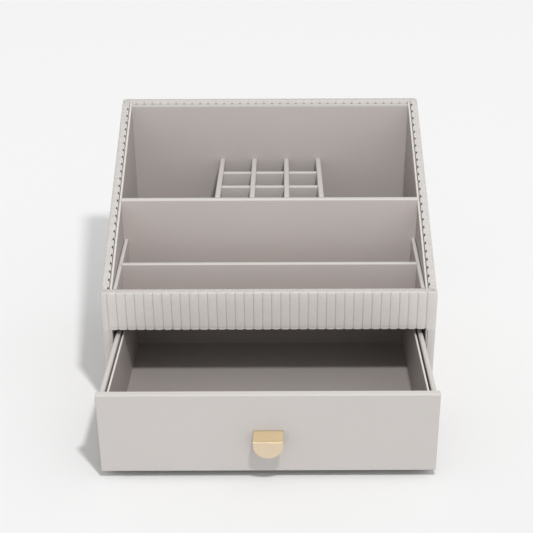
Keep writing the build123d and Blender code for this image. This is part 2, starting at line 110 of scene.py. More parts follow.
def mathNode(tree, operation, first, second=0.0, third=None):
    node = tree.nodes.new("ShaderNodeMath")
    node.operation = operation
    for socket, value in zip(node.inputs, (first, second, third)):
        feed(tree, socket, value)
    return node.outputs["Value"]


def rampTo(tree, source, low, high, atLow=0.0, atHigh=1.0):
    ramp = tree.nodes.new("ShaderNodeMapRange")
    tree.links.new(source, ramp.inputs["Value"])
    ramp.inputs["From Min"].default_value = low
    ramp.inputs["From Max"].default_value = high
    ramp.inputs["To Min"].default_value = atLow
    ramp.inputs["To Max"].default_value = atHigh
    return ramp.outputs["Result"]


def noiseTexture(tree, where, scale, detail):
    noise = tree.nodes.new("ShaderNodeTexNoise")
    noise.inputs["Scale"].default_value = scale
    noise.inputs["Detail"].default_value = detail
    tree.links.new(where, noise.inputs["Vector"])
    return noise.outputs["Fac"]


def raiseSurface(tree, shader, height, strength, distance):
    bump = tree.nodes.new("ShaderNodeBump")
    bump.inputs["Strength"].default_value = strength
    bump.inputs["Distance"].default_value = distance
    tree.links.new(height, bump.inputs["Height"])
    tree.links.new(bump.outputs["Normal"], shader.inputs["Normal"])


# What all the leatherettes share. Spreads are the parts of a pattern between its two tones
leather = {
    "noiseScale": 0.45, "noiseDetail": 3, "noiseShare": 0.8, "driftDetail": 4, "driftSpread": (0.35, 0.65),
    "speckSpread": (0.2, 0.75), "hollowShadeFacing": (0.3, 0.9), "roughSpread": (0.3, 0.7), "roughSwing": 0.06,
    "highlightFacing": (0.1, 0.6), "padEdge": (0.0003, 0.0008), "hemEdge": (0.0, 0.0003),
}


def leatherette(name, settings):
    # Pebbled grain: the distance to the nearest cell plus a share of noise. The colour drifts between two
    # tones and darkens in the grain's hollows. Painted shade darkens grooves and gaps, and the hollows more
    # on faces that look up; a painted highlight pales edges and tops that face up
    colour, roughness = settings["colour"], settings["roughness"]
    material, tree, shader = newMaterial(name, colour, roughness, settings["specular"])
    where = objectCoordinates(tree)
    cells = tree.nodes.new("ShaderNodeTexVoronoi")
    cells.inputs["Scale"].default_value = 1 / settings["grain"]
    tree.links.new(where, cells.inputs["Vector"])
    distance = cells.outputs["Distance"]
    noise = noiseTexture(tree, where, leather["noiseScale"] / settings["grain"], leather["noiseDetail"])
    height = mathNode(tree, "MULTIPLY_ADD", noise, leather["noiseShare"], distance)
    raiseSurface(tree, shader, height, settings["bump"], settings["bumpHeight"])
    drift = noiseTexture(tree, where, settings["driftScale"], leather["driftDetail"])
    tone = rampTo(tree, drift, *leather["driftSpread"])
    base = mixColour(tree, tone, colour, settings["secondColour"])
    up = facingUp(tree)
    # Painted shade: the grain's hollows darken more where the surface faces up
    hollowShadeUp = settings.get("hollowShadeUp", settings["speck"])
    speckLevel = rampTo(tree, up, *leather["hollowShadeFacing"], settings["speck"], hollowShadeUp)
    speck = mathNode(tree, "MULTIPLY", rampTo(tree, distance, *leather["speckSpread"]), speckLevel)
    base = mixColour(tree, speck, base, settings["hollowAndShadeColour"])
    if "highlightColour" in settings:
        # Painted highlight: edges and tops above a given height are paler, more so where the surface faces
        # up, but not on the flat pad of the tray
        place = axes(tree, where)
        upHighlight = rampTo(tree, up, *leather["highlightFacing"])
        highUp = rampTo(tree, place["Z"], *settings["highlightFrom"])
        fromPad = mathNode(tree, "ABSOLUTE", mathNode(tree, "SUBTRACT", place["Z"], case["padTop"] * mm))
        offPad = rampTo(tree, fromPad, *leather["padEdge"])
        pale = mathNode(tree, "MULTIPLY", mathNode(tree, "MULTIPLY", upHighlight, highUp), offPad)
        if "hemBelow" in settings:
            # Painted highlight on the liners' folded hems: pale down to a line a little under the sloping rim
            atFront, atBack = [(case[end] - settings["hemBelow"]) * mm for end in ("frontTop", "backTop")]
            line = rampTo(tree, place["Y"], -case["innerY"] * mm, case["innerY"] * mm, atFront, atBack)
            hem = rampTo(tree, mathNode(tree, "SUBTRACT", place["Z"], line), *leather["hemEdge"])
            pale = mathNode(tree, "MAXIMUM", pale, hem)
        base = mixColour(tree, pale, base, settings["highlightColour"])
    # Painted shade carried by the mesh: grooves, notches, seams, hem lines and folds darker
    if settings.get("paintedShade"):
        paintedShade = tree.nodes.new("ShaderNodeAttribute")
        paintedShade.attribute_name = "paintedShade"
        base = mixColour(tree, paintedShade.outputs["Fac"], base, settings["hollowAndShadeColour"])
    tree.links.new(base, shader.inputs["Base Color"])
    rough = [roughness - leather["roughSwing"], roughness + leather["roughSwing"]]
    tree.links.new(rampTo(tree, noise, *leather["roughSpread"], *rough), shader.inputs["Roughness"])
    return material


ribbedLeather = leatherette("ribbedLeather", {
    "colour": (0.647, 0.615, 0.586), "secondColour": (0.631, 0.599, 0.571), "driftScale": 90.0,
    "roughness": 0.52, "specular": 0.35, "grain": 0.0013, "bump": 0.4, "bumpHeight": 0.0003,
    "hollowAndShadeColour": (0.03, 0.029, 0.028), "speck": 0.02, "hollowShadeUp": 0.17, "paintedShade": True,
})
smoothLeather = leatherette("smoothLeather", {
    "colour": (0.571, 0.541, 0.522), "secondColour": (0.558, 0.529, 0.509), "driftScale": 12.0,
    "roughness": 0.50, "specular": 0.35, "grain": 0.0009, "bump": 0.18, "bumpHeight": 0.0002,
    "hollowAndShadeColour": (0.20, 0.185, 0.17), "speck": 0.03,
    "highlightColour": (0.635, 0.604, 0.580), "highlightFrom": (0.0655, 0.0675),
})
softLook = {
    "specular": 0.30, "grain": 0.0008, "bump": 0.12, "bumpHeight": 0.00015, "speck": 0.03,
    "highlightFrom": (0.055, 0.060),
}
liningLook = {
    **softLook, "colour": (0.469, 0.430, 0.411), "secondColour": (0.454, 0.416, 0.398),
    "hollowAndShadeColour": (0.20, 0.18, 0.17), "roughness": 0.58, "driftScale": 9.0,
    "highlightColour": (0.56, 0.535, 0.51), "hemBelow": 4.4,
}
lining = leatherette("lining", liningLook)
sideLining = leatherette("sideLining", {**liningLook, "highlightColour": (0.69, 0.66, 0.63), "hemBelow": 2.8})
drawerLining = leatherette("drawerLining", {
    **liningLook, "highlightColour": (0.74, 0.71, 0.68), "colour": (0.405, 0.366, 0.351),
    "secondColour": (0.392, 0.354, 0.339),
})
# The drawer's rear liner: the same lining, darker, as painted shade deep in the drawer
paintedShadeRearLining = leatherette("paintedShadeRearLining", {
    **liningLook, "colour": (0.29, 0.26, 0.25), "secondColour": (0.28, 0.25, 0.24),
})
coverLook = {**softLook, "hollowAndShadeColour": (0.22, 0.20, 0.19), "roughness": 0.55, "driftScale": 11.0}
coveredBoard = leatherette("coveredBoard", {
    **coverLook, "colour": (0.510, 0.463, 0.444), "secondColour": (0.495, 0.449, 0.430),
    "highlightColour": (0.62, 0.592, 0.567),
})
gridBoard = leatherette("gridBoard", {
    **coverLook, "colour": (0.526, 0.492, 0.467), "secondColour": (0.511, 0.478, 0.452),
    "highlightColour": (0.60, 0.573, 0.542),
})


def fibreboard(name, settings):
    # Pressed fibres: fine stretched noise, in colour and bump
    material, tree, shader = newMaterial(name, settings["colour"], settings["roughness"])
    where = objectCoordinates(tree, settings["stretch"])
    noise = noiseTexture(tree, where, settings["scale"], settings["detail"])
    tone = rampTo(tree, noise, *settings["spread"])
    base = mixColour(tree, tone, settings["colour"], settings["secondColour"])
    tree.links.new(base, shader.inputs["Base Color"])
    raiseSurface(tree, shader, noise, settings["bump"], settings["bumpHeight"])
    return material


fibreLook = {"detail": 6, "spread": (0.3, 0.7), "bump": 0.3}
board = fibreboard("board", {
    **fibreLook, "colour": (0.050, 0.044, 0.038), "secondColour": (0.075, 0.066, 0.058), "roughness": 0.8,
    "scale": 500.0, "stretch": (1, 1, 1), "bumpHeight": 0.0002,
})
felt = fibreboard("felt", {
    **fibreLook, "colour": (0.05, 0.048, 0.045), "secondColour": (0.09, 0.085, 0.08), "roughness": 0.95,
    "scale": 900.0, "stretch": (1, 1.6, 1), "bumpHeight": 0.0005,
})
slideStrip = fibreboard("slideStrip", {
    **fibreLook, "colour": (0.14, 0.135, 0.13), "secondColour": (0.17, 0.165, 0.16), "roughness": 0.4,
    "scale": 300.0, "stretch": (1, 0.05, 1), "bumpHeight": 0.00005,
})


def brushedMetal(name, settings):
    # Brush lines: noise stretched along the brushing direction, in colour, roughness and bump
    colour, roughness = settings["colour"], settings["roughness"]
    material, tree, shader = newMaterial(name, colour, roughness, metallic=1.0)
    where = objectCoordinates(tree, settings["stretch"])
    lines = noiseTexture(tree, where, settings["scale"], settings["detail"])
    tone = rampTo(tree, lines, *settings["spread"])
    base = mixColour(tree, tone, colour, settings["secondColour"])
    # Painted shade: faces that look up are darker and a deeper gold
    if "upShadeColour" in settings:
        up = rampTo(tree, facingUp(tree), *settings["upShadeFacing"])
        base = mixColour(tree, up, base, settings["upShadeColour"])
    tree.links.new(base, shader.inputs["Base Color"])
    rough = [roughness - settings["roughSwing"], roughness + settings["roughSwing"]]
    tree.links.new(rampTo(tree, lines, *settings["spread"], *rough), shader.inputs["Roughness"])
    raiseSurface(tree, shader, lines, settings["bump"], settings["bumpHeight"])
    return material


metalLook = {"scale": 900.0, "detail": 5, "spread": (0.3, 0.7), "roughSwing": 0.08, "bumpHeight": 0.00005}
satinBrass = brushedMetal("satinBrass", {
    **metalLook, "colour": (0.76, 0.62, 0.445), "secondColour": (0.82, 0.69, 0.52), "roughness": 0.42,
    "stretch": (1, 1, 0.03), "bump": 0.4, "upShadeColour": (0.67, 0.535, 0.335), "upShadeFacing": (0.1, 0.8),
})
plainSteel = brushedMetal("plainSteel", {
    **metalLook, "colour": (0.50, 0.50, 0.50), "secondColour": (0.60, 0.60, 0.60), "roughness": 0.35,
    "stretch": (1, 1, 1), "bump": 0.2,
})
finishes = {
    "ribbed_skin": ribbedLeather, "smooth_skin": smoothLeather, "lining": lining,
    "covered_board": coveredBoard, "board": board, "felt": felt, "satin_brass": satinBrass,
    "steel": plainSteel, "slide_strip": slideStrip,
}
slotOfNode = {part["node"]: part["material_slot"] for part in frame["record"]["subparts"]}
# The drawer's rear liner takes the darker lining: painted shade
ownFinishes = {"drawer_liner_rear": paintedShadeRearLining}
for nodeName in ("drawer_pad", "drawer_liner_left", "drawer_liner_right", "drawer_liner_front"):
    ownFinishes[nodeName] = drawerLining
for nodeName, node in frame["nodes"].items():
    for place in node.material_slots:
        place.material = ownFinishes.get(nodeName, finishes[slotOfNode[nodeName]])
print("materials ready")


# Meshes
def gridFaces(rows, columns, start=0, flip=False):
    # Quads between neighbouring rows and columns of a grid
    index = start + np.arange(rows * columns).reshape(rows, columns)
    quads = np.stack([index[:-1, :-1], index[:-1, 1:], index[1:, 1:], index[1:, :-1]], axis=-1)
    quads = quads.reshape(-1, 4)
    return quads[:, ::-1] if flip else quads


def smoothPiece(name, points, faces, material):
    # One mesh object at the origin, from points in metres [points, 3] and faces [faces, 4]
    mesh = bpy.data.meshes.new(name)
    mesh.from_pydata(points.tolist(), [], faces.tolist())
    mesh.polygons.foreach_set("use_smooth", np.ones(len(faces), dtype=bool))
    mesh.materials.append(material)
    piece = bpy.data.objects.new(name, mesh)
    bpy.context.scene.collection.objects.link(piece)
    return piece


def surfacePiece(name, grids, material, body, nodeNames, thickness=0.0):
    # grids: list of (points in millimetres [rows, columns, 3], flip, {attribute: [rows, columns]})
    points = np.concatenate([grid[0].reshape(-1, 3) for grid in grids]) * mm
    faces = []
    start = 0
    for grid in grids:
        rows, columns = grid[0].shape[:2]
        faces.append(gridFaces(rows, columns, start, grid[1]))
        start += rows * columns
    piece = smoothPiece(name, points, np.concatenate(faces), material)
    mesh = piece.data
    for key in grids[0][2]:
        values = np.concatenate([grid[2][key].reshape(-1) for grid in grids]).astype(np.float32)
        mesh.attributes.new(key, "FLOAT", "POINT").data.foreach_set("value", values)
    # Open edges are sharp, so that the thickness's narrow faces don't bend the shading beside them
    edgeOfLoop = np.zeros(len(mesh.loops), dtype=np.int32)
    mesh.loops.foreach_get("edge_index", edgeOfLoop)
    isOpen = np.bincount(edgeOfLoop, minlength=len(mesh.edges)) == 1
    mesh.attributes.new("sharp_edge", "BOOLEAN", "EDGE").data.foreach_set("value", isOpen)
    if thickness:
        shell = piece.modifiers.new("thickness", "SOLIDIFY")
        shell.thickness = thickness * mm
        shell.offset = -1
    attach(piece, body)
    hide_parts(*nodeNames)
    return piece


# Ribbed skins: sizes in millimetres, painted shades and shares as parts of 1. Grooves are given by the
# first one's place, the pitch and the count, top and inside rows by a distance and a share of the notch
ribs = {
    "thickness": 0.5, "groove": 0.42, "grooveWidth": 0.38, "grooveMost": 1.2, "grooveShade": 0.34,
    "pillow": 0.14, "pillowHalf": 3.37, "fold": 0.10, "foldPlace": 0.85, "foldWidth": 0.22,
    "columnsAtGroove": (-2.6, -1.9, -1.3, -0.85, -0.5, -0.25, 0.0, 0.25, 0.5, 0.85, 1.3, 1.9, 2.6),
    "columnsAtLip": (0.0, 0.25, 0.45, 0.6, 0.75, 0.9, 1.05, 1.3, 1.57, 1.85, 2.3, 3.0),
    "lipClear": 0.1, "cornerClear": 0.15, "cornerColumns": 9,
    "lipGroove": 0.2, "lipRows": 3,
    "bottomRoll": 0.9, "bottomRows": 6, "bottomNotch": 0.55, "bottomNotchTop": 1.4, "bottomDeeper": 1.6,
    "hem": 2.0, "hemWidth": 0.7, "hemDepth": 0.12, "hemShade": 0.12,
    "faceRows": (0.08, 0.25, 0.5, 0.75, 1.0), "lean": 0.35, "leanHeight": 6.0, "leanRows": (4.5, 3.0, 1.5),
    "outerRoll": 1.5, "outerRows": 9, "innerRoll": 0.4, "innerRows": 7, "slot": 0.3,
    "topRows": ((2.4, 0.0), (1.2, 0.0), (0.75, 0.1), (0.5, 0.45), (0.25, 0.7)),
    "insideRows": ((1.2, 0.0), (2.4, 0.0), (2.6, 0.8), (3.2, 1.0), (6.0, 1.0)),
    "notchHalf": 1.25, "notchPower": 0.8, "notchOnTop": 0.8,
    "holeSharp": 2.2, "holeFrom": 0.1, "holeOver": 0.35,
    "seam": 0.35, "seamDown": 1.6, "mitreSeamFrom": 2.6, "mitreColumns": 3,
    "backSeamX": 120.65, "backSeamFrom": 0.3, "backSeamColumns": (-0.35, 0.0, 0.35),
    "front": {
        "grooves": (-119.57, 6.758, 36), "onRim": 0.06, "notch": 0.5, "notchOnRoll": 0.0, "notchShade": 0.5,
        "bottom": case["bandBottom"], "lip": 6.0, "hemShare": 0.6,
    },
    "back": {
        "grooves": (-113.16, 6.75, 35), "onRim": 0.30, "notch": 0.15, "notchOnRoll": 0.0, "notchShade": 0.35,
        "bottom": case["skinBottom"], "lip": 1.6, "hemShare": 0.0,
    },
    "left": {
        "grooves": (-82.6, 6.57, 25), "onRim": 0.25, "notch": 0.9, "notchOnRoll": 1.0, "notchShade": 1.0,
        "bottom": case["skinBottom"], "lip": 1.6, "hemShare": 0.0,
    },
    "right": {
        "grooves": (-80.3, 6.62, 25), "onRim": 0.25, "notch": 0.9, "notchOnRoll": 1.0, "notchShade": 1.0,
        "bottom": case["skinBottom"], "lip": 1.6, "hemShare": 0.0,
    },
}
fromBottom, fromRim, shareOfFace = 0, 1, 2  # what a row's height counts from
everywhere, overOpening, besideOpening = 0, 1, 2  # where a row is used
tolerance = 0.01


def grooveCentres(wall):
    # start + pitch * number, along the case's own x or y. The front and right walls are turned the
    # other way round when they are put in place, so their centres change sign
    start, pitch, count = ribs[wall]["grooves"]
    centres = start + pitch * np.arange(count)
    return -centres[::-1] if wall in ("front", "right") else centres


def rimHeight(y):
    # Flat at the front and the back, a straight slope between
    low, high = case["frontTop"], case["backTop"]
    slope = low + (high - low) * (y + case["innerY"]) / (2 * case["innerY"])
    return np.clip(slope, low, high)


def wallColumns(wall):
    # Plan of one wall from mitre to mitre, as a wall that faces +Y: outer points, outward normals,
    # inner points and distance to the nearest groove. An eighth of a circle at each end
    radius = case["cornerRadius"]
    alongX = wall in ("front", "back")
    sizes = [("halfWidth", "innerX"), ("halfDepth", "innerY")]
    lengthwise, crosswise = sizes if alongX else sizes[::-1]
    half, innerHalf = [case[size] for size in lengthwise]
    across, innerAcross = [case[size] for size in crosswise]
    straight = half - radius
    centres = grooveCentres(wall)
    s = (centres[:, None] + np.array(ribs["columnsAtGroove"])[None, :]).reshape(-1)
    extra = np.array([])
    if wall == "front":
        s = s[np.abs(s) < case["openingX"] - ribs["lipClear"]]
        extra = case["openingX"] + np.array(ribs["columnsAtLip"])
    if wall == "back":
        extra = ribs["backSeamX"] + np.array(ribs["backSeamColumns"])
    s = np.sort(np.concatenate([s, extra, -extra]))
    s = np.concatenate([[-straight], s[np.abs(s) < straight - ribs["cornerClear"]], [straight]])
    turn = np.radians(np.linspace(45, 0, ribs["cornerColumns"])[:-1])
    first = np.stack([-straight - radius * np.sin(turn), across - radius + radius * np.cos(turn)], axis=1)
    firstNormal = np.stack([-np.sin(turn), np.cos(turn)], axis=1)
    outer = np.concatenate([first, np.stack([s, np.full_like(s, across)], axis=1), first[::-1] * [-1, 1]])
    normal = np.concatenate([firstNormal, np.tile([0.0, 1.0], (len(s), 1)), firstNormal[::-1] * [-1, 1]])
    inner = np.stack([np.clip(outer[:, 0], -innerHalf, innerHalf), np.full(len(outer), innerAcross)], axis=1)
    away = np.abs(outer[:, 0][:, None] - centres[None, :]).min(axis=1)
    return outer, normal, inner, away


def grooveDepth(away):
    # A sharp V between two low pillows, with a faint fold beside it
    valley = np.clip(1 - away / ribs["grooveWidth"], 0, 1)
    pillow = ribs["pillow"] * (1 - np.clip(away / ribs["pillowHalf"], 0, 1)) ** 2
    fold = ribs["fold"] * np.exp(-((away - ribs["foldPlace"]) / ribs["foldWidth"]) ** 2)
    return ribs["groove"] * valley + pillow + fold, valley


def turnToWall(points, wall):
    # The wall is worked out facing +Y with its length along X, then turned to its side of the case
    x, y = points[..., 0], points[..., 1]
    turned = {"back": (x, y), "front": (-x, -y), "left": (-y, x), "right": (y, -x)}[wall]
    out = np.array(points)
    out[..., 0], out[..., 1] = turned
    return out


def row(reach, kind, height, angle=0, groove=1.0, notch=0.0, hem=0.0, used=everywhere):
    # Distance inwards, what the height counts from, height, slope of the surface in degrees,
    # shares of the groove, of the notch and of the hem line, and where the row is used
    return reach, kind, height, angle, groove, notch, hem, used


def wallRows(wall):
    # From the turned-in lip at the bottom up the face, over the rim and down inside it. The rolls
    # are quarters of circles, and a groove fades over the rim with the square of the angle
    own = ribs[wall]
    outerRoll, innerRoll, bottomRoll = ribs["outerRoll"], ribs["innerRoll"], ribs["bottomRoll"]
    lean, crown = ribs["lean"], case["halfWidth"] - case["innerX"] - ribs["slot"]
    onRim, onRoll, hem = own["onRim"], own["notchOnRoll"], own["hemShare"]
    rows = []
    for reach in np.linspace(own["lip"], bottomRoll, ribs["lipRows"])[:-1]:
        rows.append(row(reach, fromBottom, 0.0, -90, ribs["lipGroove"], used=overOpening))
    for angle in np.linspace(-90, 0, ribs["bottomRows"])[:-1]:
        turn = math.radians(angle)
        deeper = 1.0 + ribs["bottomDeeper"] * math.sin(-turn)
        reach, height = bottomRoll * (1 - math.cos(turn)), bottomRoll * (1 + math.sin(turn))
        rows.append(row(reach, fromBottom, height, angle, deeper, used=overOpening))
    rows.append(row(0.0, fromBottom, bottomRoll, used=overOpening))
    for beside, share in ((-1, hem), (0, 2 * hem), (1, hem)):
        height = ribs["hem"] + beside * ribs["hemWidth"]
        rows.append(row(0.0, fromBottom, height, hem=share, used=overOpening))
    rows.append(row(0.0, fromBottom, 0.0, used=besideOpening))
    for share in ribs["faceRows"]:
        rows.append(row(0.0, shareOfFace, share))
    for below in ribs["leanRows"]:
        rows.append(row(lean * (1 - below / ribs["leanHeight"]) ** 2, fromRim, -outerRoll - below))
    for angle in np.linspace(0, 90, ribs["outerRows"]):
        turn = math.radians(angle)
        groove = onRim + (1 - onRim) * (1 - (angle / 90) ** 2)
        reach, height = lean + outerRoll * (1 - math.cos(turn)), outerRoll * (math.sin(turn) - 1)
        rows.append(row(reach, fromRim, height, angle, groove))
    for before, notch in ribs["topRows"]:
        rows.append(row(crown - innerRoll - before, fromRim, 0.0, 90, onRim, notch * onRoll))
    for angle in np.linspace(0, 90, ribs["innerRows"]):
        turn = math.radians(angle)
        notch = onRoll * (ribs["notchOnTop"] + (1 - ribs["notchOnTop"]) * math.sin(turn))
        reach, height = crown - innerRoll + innerRoll * math.sin(turn), innerRoll * (math.cos(turn) - 1)
        rows.append(row(reach, fromRim, height, 90 + angle, onRim, notch))
    for drop, notch in ribs["insideRows"]:
        rows.append(row(crown, fromRim, -drop, 180, onRim, max(onRoll, notch)))
    return np.array(rows)


def seamDepths(wall, outer, plan):
    # The corners' seams: how far in a seam starts and ends at each column of the wall
    seamFrom, seamTo = np.full(len(outer), np.inf), np.full(len(outer), -np.inf)
    backSeam = case["halfWidth"] - ribs["backSeamX"]
    column = np.arange(len(outer))
    atMitre = np.minimum(column, column[::-1]) < ribs["mitreColumns"]
    atBack = (wall == "back") | ((wall != "front") & (plan[:, 1] > 0))
    seamFrom[atMitre] = np.where(atBack, backSeam, ribs["mitreSeamFrom"])[atMitre]
    seamTo[atMitre] = np.inf
    if wall == "back":
        onSeam = np.abs(np.abs(outer[:, 0]) - ribs["backSeamX"]) < tolerance
        seamFrom[onSeam], seamTo[onSeam] = ribs["backSeamFrom"], backSeam
    return seamFrom, seamTo


def ribbedWall(wall):
    # Each column climbs the outer face, rolls over the rim and dives inside it. Its point is
    # outer * (1 - a) + inner * a at a share a of the wall's width, sunk along the surface's normal.
    # A groove fades on the top and ends in a notch at the inner edge
    own = ribs[wall]
    outer, normal, inner, away = wallColumns(wall)
    rows = wallRows(wall)
    plan = turnToWall(outer, wall)
    top = rimHeight(plan[:, 1])
    depth, valley = grooveDepth(away)
    reach, kind, height, angle, grooveShare, notchShare, hemShare = [rows[:, i][:, None] for i in range(7)]
    used = rows[:, 7]
    angle = np.radians(angle)
    nearGroove = 1 - away / ribs["notchHalf"]
    reach = reach - own["notch"] * np.clip(nearGroove, 0, 1) ** ribs["notchPower"] * notchShare
    seamFrom, seamTo = seamDepths(wall, outer, plan)
    seam = (reach >= seamFrom) & (reach <= seamTo) & (kind == fromRim) & (height > -ribs["seamDown"])
    sunk = depth * grooveShare + ribs["hemDepth"] * hemShare + ribs["seam"] * seam
    a = (reach / (case["halfWidth"] - case["innerX"]))[..., None]
    faceBottom = own["bottom"] + ribs["hem"] + ribs["hemWidth"]
    face = top - ribs["outerRoll"] - ribs["leanHeight"] - faceBottom
    fromFace = np.where(kind == fromRim, top + height, faceBottom + face * height)
    lift = np.where(kind == fromBottom, own["bottom"] + height, fromFace)
    points = np.zeros((*lift.shape, 3))
    base = outer[None] * (1 - a) + inner[None] * a
    points[..., :2] = base - normal[None] * (np.cos(angle) * sunk)[..., None]
    points[..., 2] = lift - np.sin(angle) * sunk
    if wall == "front":
        # The grooves end in small notches along the band's lower edge
        lowPart = (kind == fromBottom) & (used == overOpening)[:, None]
        share = np.clip(1 - height / ribs["bottomNotchTop"], 0, 1) * lowPart
        points[..., 2] += ribs["bottomNotch"] * valley * share
    points = turnToWall(points, wall)
    # Painted shade: darker in the groove valleys, along the hem line and seams, and in the notches' holes
    paintedShade = ribs["grooveShade"] * valley * np.clip(grooveShare, 0, ribs["grooveMost"])
    hole = np.clip(ribs["holeSharp"] * nearGroove, 0, 1)
    holeShare = np.clip((notchShare - ribs["holeFrom"]) / ribs["holeOver"], 0, 1)
    paintedShade = paintedShade + ribs["hemShade"] * hemShare + seam + own["notchShade"] * hole * holeShare
    paintedShade = np.clip(paintedShade, 0, 1)
    if wall != "front":
        kept = used != besideOpening
        return [(points[kept], True, {"paintedShade": paintedShade[kept]})]
    grids = []
    beside = np.abs(outer[:, 0]) >= case["openingX"] - tolerance
    over = np.abs(outer[:, 0]) <= case["openingX"] + tolerance
    ends = [beside & (outer[:, 0] < 0), beside & (outer[:, 0] > 0)]
    for columns, skipped in ((over, besideOpening), (ends[0], overOpening), (ends[1], overOpening)):
        kept = used != skipped
        grids.append((points[kept][:, columns], True, {"paintedShade": paintedShade[kept][:, columns]}))
    return grids


# The side skins' front edges beside the drawer, in millimetres. Shade is painted shade over the whole strip
strip = {
    "shade": 0.09, "grooveShade": 0.20, "edge": 0.7, "edgeOut": 0.35, "edgeColumns": 6, "insideY": -87.0,
    "rows": 10, "rowsFromBand": (2.0, 1.2, 0.5, 0.0), "foldSide": 1, "foldX": 118.75, "foldHalf": 0.3,
    "foldDepth": 0.7, "foldFront": -89.0, "foldFade": 1.2,
}


def bayStrip(side):
    # Carries the front wall's plan on down to the ground, then turns back into the bay by a
    # quarter of a circle. The right one has a sunk fold along its inner edge, darkened with painted shade
    outer, normal, _, away = wallColumns("front")
    depth, valley = grooveDepth(away)
    columns = outer[:, 0] * -side >= case["openingX"] - tolerance
    flat = turnToWall(outer - normal * depth[:, None], "front")[columns]
    flat[:, 0] *= side
    order = np.argsort(-flat[:, 0])
    dark = strip["grooveShade"] * valley[columns][order]
    turnIn = np.radians(np.linspace(0, 90, strip["edgeColumns"])[1:])
    into = np.stack([
        case["openingX"] - strip["edge"] * np.sin(turnIn) + strip["edgeOut"],
        -case["halfDepth"] + strip["edge"] - strip["edge"] * np.cos(turnIn),
    ], axis=1)
    back = np.array([[into[-1, 0], strip["insideY"]], [into[-1, 0], case["bayEnd"]]])
    path = np.concatenate([flat[order], into, back])
    nearBand = case["bandBottom"] - np.array(strip["rowsFromBand"])
    height = np.concatenate([np.linspace(case["skinBottom"], nearBand[0], strip["rows"]), nearBand[1:]])
    points = np.zeros((len(height), len(path), 3))
    points[..., 0] = path[None, :, 0] * side
    points[..., 1] = path[None, :, 1]
    points[..., 2] = height[:, None]
    dark = np.concatenate([dark, np.zeros(len(into) + len(back))])
    # Painted shade: the whole strip a little darker, and darker still in the groove valleys
    paintedShade = strip["shade"] + np.tile(dark, (len(height), 1))
    if side == strip["foldSide"]:
        fold = np.clip(1 - np.abs(path[:, 0] - strip["foldX"]) / strip["foldHalf"], 0, 1)
        fold = fold * (path[:, 1] < strip["foldFront"])
        fade = np.clip((case["bandBottom"] - height) / strip["foldFade"], 0, 1)[:, None]
        points[..., 1] += strip["foldDepth"] * fold * fade
        # The fold is sunk and darkened with painted shade
        paintedShade = np.clip(paintedShade + fold * fade, 0, 1)
    return points, paintedShade


for wall in ("left", "right", "back", "front"):
    grids = ribbedWall(wall)
    if wall in ("left", "right"):
        side = -1 if wall == "left" else 1
        points, paintedShade = bayStrip(side)
        grids.append((points, side > 0, {"paintedShade": paintedShade}))
    name, thickness = "ribbedSkin" + wall.capitalize(), ribs["thickness"]
    surfacePiece(name, grids, ribbedLeather, "case", ["skin_" + wall], thickness)
print("ribbed skins made")


# Boards with soft edges
def boxCorners(low, high):
    # The corners of an upright box [2, 2, 2, 3], counted along x, then y, then z
    return np.stack(np.meshgrid(*zip(low, high), indexing="ij"), axis=-1)


def softBoards(name, boxes, material, settings):
    # One piece of one or more boxes, given by their corners, with rounded edges
    sides = np.array([
        (0, 1, 3, 2), (4, 6, 7, 5), (0, 4, 5, 1), (2, 3, 7, 6), (0, 2, 6, 4), (1, 5, 7, 3),
    ])
    firsts = 8 * np.arange(len(boxes))  # the number of each box's first corner
    faces = (firsts[:, None, None] + sides[None]).reshape(-1, 4)
    piece = smoothPiece(name, np.array(boxes).reshape(-1, 3), faces, material)
    soft = piece.modifiers.new("edges", "BEVEL")
    soft.width = settings["edge"] * mm
    soft.segments = settings["segments"]
    soft.harden_normals = True
    return piece


# Side liners: card with soft edges whose sloping top lies a little under the rim
sideLiners = {"below": 1.8, "edge": 0.35, "segments": 3}
for wall in ("left", "right"):
    low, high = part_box("liner_" + wall)
    corners = boxCorners(low, high)
    corners[:, :, 1, 2] = (rimHeight(corners[:, :, 1, 1] / mm) - sideLiners["below"]) * mm
    liner = softBoards("sideLiner" + wall.capitalize(), [corners], sideLining, sideLiners)
    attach(liner, "case")
    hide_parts("liner_" + wall)
print("side liners made")

# Grid walls: card wrapped in the lining, so the edges are soft, and one wall runs on through another.
# The cross walls end inside the outer walls, so that no end lies in the same plane as a face
gridWalls = {
    "edge": 1.1, "segments": 4, "inset": 2.1,
    "names": [
        "grid_wall_1", "grid_wall_2", "grid_wall_3", "grid_wall_4", "cross_wall_front", "cross_wall_rear",
    ],
}
boxes = []
for nodeName in gridWalls["names"]:
    box = [list(corner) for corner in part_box(nodeName)]
    if nodeName.startswith("cross"):
        box[0][0] += gridWalls["inset"] * mm
        box[1][0] -= gridWalls["inset"] * mm
    boxes.append(boxCorners(*box))
grid = softBoards("gridWalls", boxes, gridBoard, gridWalls)
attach(grid, "case")
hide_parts(*gridWalls["names"])
print("grid walls made")

# Pull: sizes in millimetres, angles in degrees
pull = {
    "panelFront": -177.0, "rootDepth": 1.5, "reach": 9.6, "top": 39.8, "drop": 3.3, "rootHalf": 10.05,
    "shelfRows": 14, "bendRadius": 0.4, "bendCentre": 0.24, "bendFrom": 15, "bendRows": 6,
    "flapStraight": 2.6, "straightRows": 4, "flapRadius": 10.35, "roundRows": 20, "tipHalf": 0.02,
    "columns": 25, "thickness": 1.2, "softEdge": 0.22, "softSegments": 2, "softFrom": 50,
}


